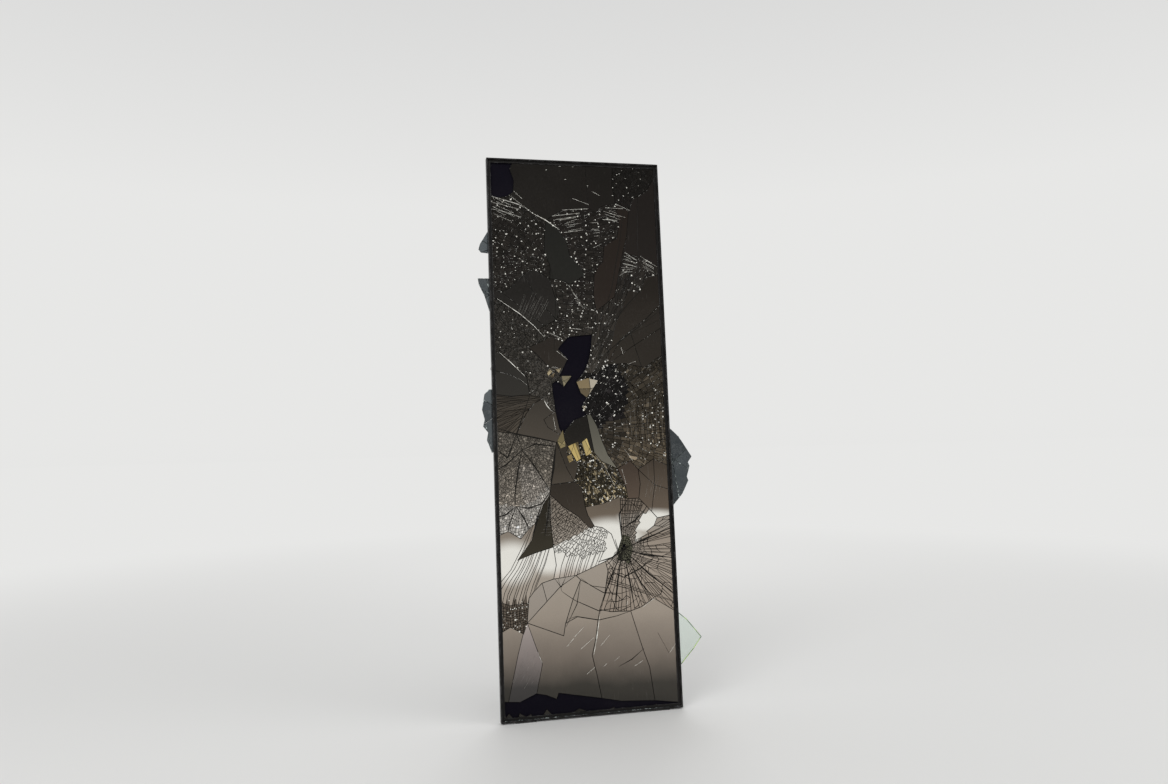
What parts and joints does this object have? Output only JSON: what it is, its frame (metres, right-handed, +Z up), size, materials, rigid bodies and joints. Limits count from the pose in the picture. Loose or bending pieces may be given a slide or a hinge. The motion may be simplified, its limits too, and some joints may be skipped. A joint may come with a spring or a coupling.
{
  "type": "broken floor mirror",
  "caption": "Tall narrow floor mirror in a thin black frame, its glass shattered into shards and fine crazing, with a folding leg behind that lets it lean back.",
  "frame": {"origin": "centre of the whole part's box, on the ground under it", "axes": "+Z up, -Y the way the glass faces, +X to the right of someone who looks into the glass"},
  "size_m": [0.638, 0.3596, 1.6297],
  "materials": {
    "frame": "satin",
    "board": "matt black",
    "mirror": "dusty",
    "crazed": "crazed",
    "sliver": "dusty",
    "steel": "dull",
    "rubber": "matt"
  },
  "bodies": {
    "mirror": {"top_rail": "frame", "bottom_rail": "frame", "left_stile": "frame", "right_stile": "frame", "backing_board": "board", "top_shard": "mirror", "upper_right_shard": "mirror", "petal_shard": "mirror", "upper_middle_shard": "mirror", "hatched_shard": "mirror", "right_diagonal_shard": "mirror", "right_middle_shard": "mirror", "left_edge_shard": "mirror", "small_left_shard": "mirror", "wedge_shard": "mirror", "slipped_shard": "mirror", "crescent_shard": "mirror", "bright_shard": "mirror", "amber_shard": "mirror", "right_low_shard": "mirror", "centre_shard": "mirror", "centre_low_shard": "mirror", "glare_shard": "mirror", "dark_wedge_shard": "mirror", "lower_left_shard": "mirror", "lower_middle_shard": "mirror", "ring_shard": "mirror", "bottom_left_shard": "mirror", "bottom_right_shard": "mirror", "bottom_corner_shard": "mirror", "corner_craze": "crazed", "left_craze": "crazed", "ladder_craze": "crazed", "ray_craze": "crazed", "left_mosaic": "crazed", "fan_craze": "crazed", "band_craze": "crazed", "bright_craze": "crazed", "big_mosaic": "crazed", "oval_craze": "crazed", "lower_fan_craze": "crazed", "hub_craze": "crazed", "left_upper_sliver": "sliver", "left_middle_sliver": "sliver", "left_lower_sliver": "sliver", "right_upper_sliver": "sliver", "right_lower_sliver": "sliver", "lower_left_corner_plate": "steel", "lower_right_corner_plate": "steel", "upper_left_corner_plate": "steel", "upper_right_corner_plate": "steel", "left_bracket": "steel", "right_bracket": "steel", "left_pivot_bolt": "steel", "right_pivot_bolt": "steel", "left_pad": "rubber", "right_pad": "rubber"},
    "leg": {"folding_leg": "frame", "left_sleeve": "rubber", "right_sleeve": "rubber"}
  },
  "joints": [
    {"name": "leg_fold", "type": "hinge", "parent": "mirror", "child": "leg", "pos_m": [-0.021, -0.07609, 0.99888], "axis": [1, 0, 0], "range_deg": [-18, 0]}
  ]
}
